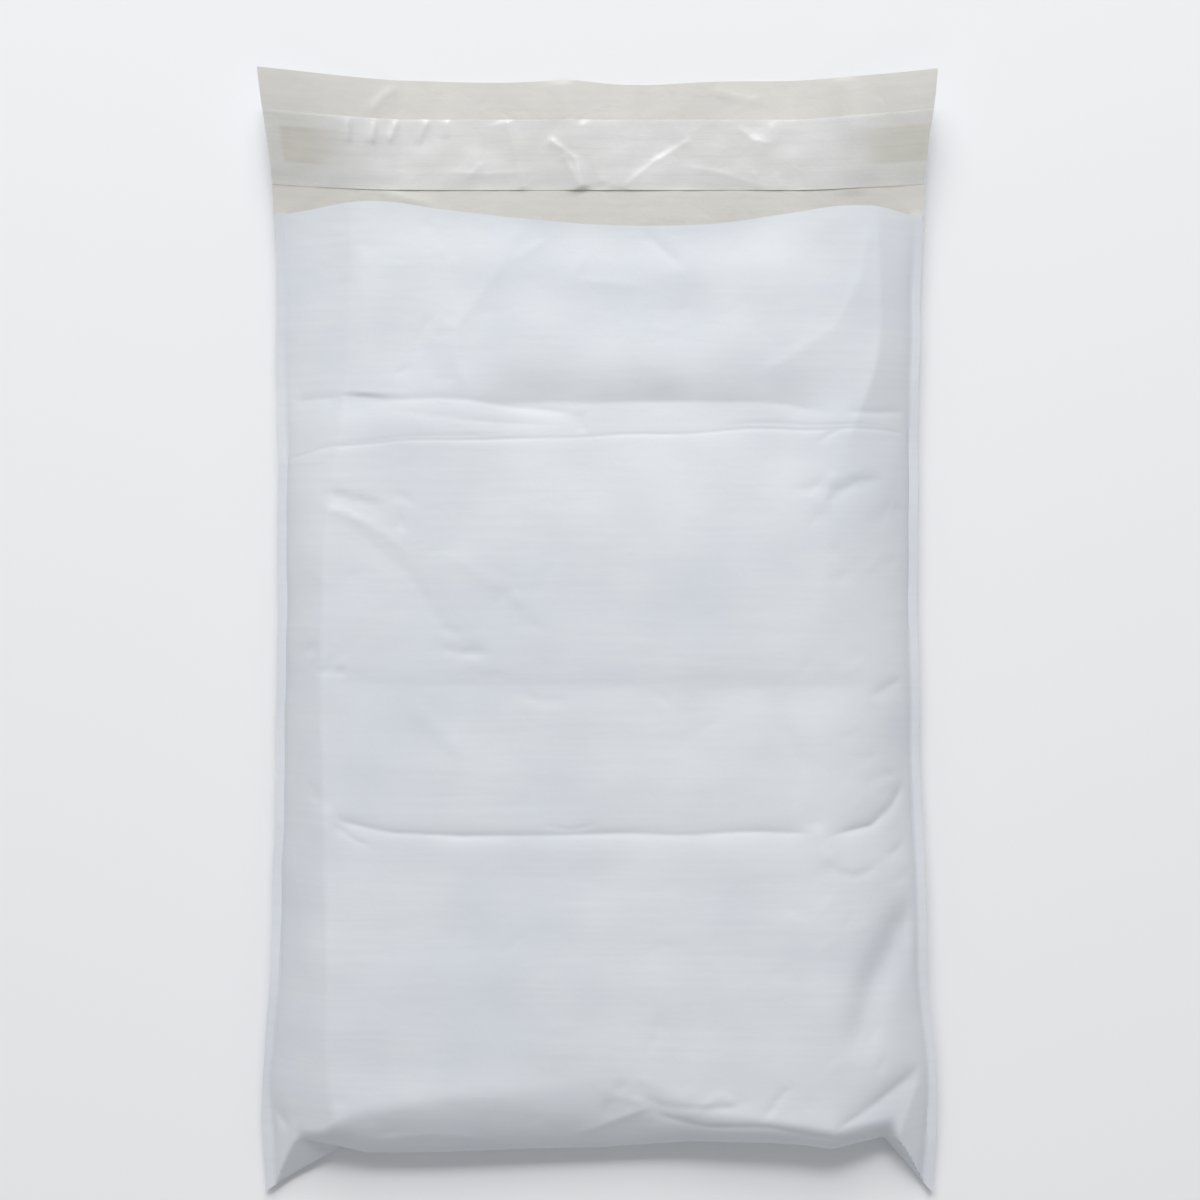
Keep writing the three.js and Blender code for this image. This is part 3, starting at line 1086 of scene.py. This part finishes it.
@dataclass
class ClosingStrip:
    """A strip that lies on the flap's inner face, from side to side.

    Attributes:
        name: the piece's name.
        node: the CAD node that it stands for.
        slot: not used.
        finish: its finish.
        bag: the film that it lies on.
        low: its edge nearer the mouth.
        high: its edge nearer the flap's free edge.
        reach: how far out from the middle it goes, left and right.
        lift: height of its lower face above the flap.
        thick: its thickness.
        creases: its own wrinkles; a strip with none lies close all over.
        slack: how far a wrinkled strip stands off what it covers, on average.
        hem: how far in from its lower edge a wrinkled strip reaches its full lift.
        hem_lift: the share of the lift at that edge.
    """

    name: str
    node: str
    slot: str
    finish: FilmFinish
    bag: MailerFilm
    low: float
    high: float
    reach: Pair
    lift: float
    thick: float
    creases: tuple[Crease, ...] = ()
    slack: float = 0.16
    hem: float = 7.0
    hem_lift: float = 0.3
    columns: int = 300
    rows: int = 36

    def build(self) -> bpy.types.Object:
        """Makes the strip as one closed skin that follows the flap.

        Returns:
            The strip.
        """
        x, y = np.meshgrid(
            np.linspace(-self.reach[0], self.reach[1], self.columns + 1),
            np.linspace(self.low, self.high, self.rows + 1),
        )
        edge = self.bag.half_width(x, y) / self.bag.half_width(x, np.full(x.shape, self.high))
        x = x * edge
        base = self.bag.underside(x, y) + self.bag.film
        if not self.creases:
            base += self.lift
        else:
            clear = ease(y, self.low, self.low + self.hem)
            base += self.lift * (self.hem_lift + (1 - self.hem_lift) * clear)
            base += np.maximum(self.slack + relief(self.creases, x, y) + LINER_SLACK(x, y), 0)
        skin = Skin()
        upper = skin.grid(x, y, base + self.thick)
        lower = skin.grid(x, y, base)
        skin.fill(upper)
        skin.fill(lower, up=False)
        for side in (0, -1):
            skin.fill(np.stack([lower[side], upper[side]]))
            skin.fill(np.stack([lower[:, side], upper[:, side]]))
        return skin.build(self.name, [self.finish.build()])

    def dress(self) -> bpy.types.Object:
        """Builds the strip, hangs it under the root body and hides the CAD part that it replaces.

        Returns:
            The strip.
        """
        piece = self.build()
        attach(piece, "root")
        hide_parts(self.node)
        return piece


# ---- the studio


@dataclass(frozen=True)
class SoftBox:
    """One soft box.

    Attributes:
        name: the light's name.
        place: where it hangs, in metres.
        size: its width and height, in metres.
        power: its output in watts.
    """

    name: str
    place: tuple[float, float, float]
    size: Pair
    power: float

    def hang(self) -> None:
        """Hangs it so that it faces the bag."""
        data = bpy.data.lights.new(self.name, "AREA")
        data.shape = "RECTANGLE"
        data.size, data.size_y = self.size
        data.energy = self.power
        light = bpy.data.objects.new(self.name, data)
        light.location = self.place
        light.rotation_euler = (-Vector(self.place)).to_track_quat("-Z", "Y").to_euler()
        bpy.context.collection.objects.link(light)


@dataclass
class Studio:
    """A pale floor, soft light from beyond the flap, and a camera looking straight down.

    Attributes:
        floor_size: the floor's width, in metres like every size here.
        floor_gap: how far the floor lies below the bag.
        board: the floor's tone.
        sky: the tone of the even light from all round.
        sky_strength: its strength.
        lights: a key beyond the flap, a smaller box for the film's sheen, and a fill at the foot.
        eye_height, eye_x, eye_y: the camera's place.
        view_width: how much of the floor it takes in.
        sensor: its sensor's width, in millimetres.
    """

    floor_size: float = 4.0
    floor_gap: float = 0.0002
    board: str = "#f2f3f4"
    sky: str = "#f1f3f7"
    sky_strength: float = 0.36
    lights: tuple[SoftBox, ...] = (
        SoftBox("key_soft_box", (-0.3, 2.6, 2.5), (3.0, 2.0), 79.0),
        SoftBox("sheen_strip", (0.0, 1.35, 1.9), (0.7, 0.4), 12.5),
        SoftBox("foot_fill", (0.0, -2.0, 1.6), (2.0, 1.2), 3.5),
    )
    eye_height: float = 0.75
    eye_x: float = 0.0009
    eye_y: float = 0.0129
    view_width: float = 0.4444
    sensor: float = 36.0

    def floor(self) -> None:
        """Lays the floor."""
        bpy.ops.object.select_all(action="DESELECT")
        bpy.ops.mesh.primitive_plane_add(size=self.floor_size, location=(0, 0, -self.floor_gap))
        floor = bpy.context.object
        floor.name = "studio_floor"
        material = bpy.data.materials.new("matt_white_board")
        material.use_nodes = True
        shader = material.node_tree.nodes["Principled BSDF"]
        shader.inputs["Base Color"].default_value = linear(self.board)
        shader.inputs["Roughness"].default_value = 0.7
        shader.inputs["Specular IOR Level"].default_value = 0.2
        floor.data.materials.append(material)

    def camera(self) -> None:
        """Sets the camera above the bag, looking straight down."""
        data = bpy.data.cameras.new("camera")
        data.sensor_width = self.sensor
        data.lens = self.sensor * self.eye_height / self.view_width
        camera = bpy.data.objects.new("camera", data)
        camera.location = (self.eye_x, self.eye_y, self.eye_height)
        bpy.context.collection.objects.link(camera)
        bpy.context.scene.camera = camera

    def build(self) -> None:
        """Sets up the whole studio."""
        self.floor()
        for light in self.lights:
            light.hang()
        world = bpy.data.worlds.new("studio")
        world.use_nodes = True
        background = world.node_tree.nodes["Background"]
        background.inputs["Color"].default_value = linear(self.sky)
        background.inputs["Strength"].default_value = self.sky_strength
        bpy.context.scene.world = world
        bpy.context.scene.view_settings.view_transform = "Standard"
        self.camera()


def main() -> None:
    """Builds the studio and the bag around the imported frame."""
    logging.basicConfig(level=logging.INFO, format="%(message)s")
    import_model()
    Studio().build()
    bag = MailerFilm()
    film = bag.dress()
    band = ClosingStrip(
        name="adhesive_band",
        node="adhesive_strip",
        slot="adhesive",
        finish=HOT_MELT,
        bag=bag,
        low=173.0,
        high=185.5,
        reach=(115.5, 120.8),
        lift=0.05,
        thick=0.2,
    ).dress()
    liner = ClosingStrip(
        name="liner_strip",
        node="release_liner",
        slot="liner",
        finish=RELEASE_LINER,
        bag=bag,
        low=164.6,
        high=190.6,
        reach=(121.2, 121.4),
        lift=0.35,
        thick=0.08,
        creases=LINER_CREASES,
    ).dress()
    for piece in (film, band, liner):
        LOG.info("%s: %d points, %d faces", piece.name, len(piece.data.vertices), len(piece.data.polygons))


if __name__ == "__main__":
    main()
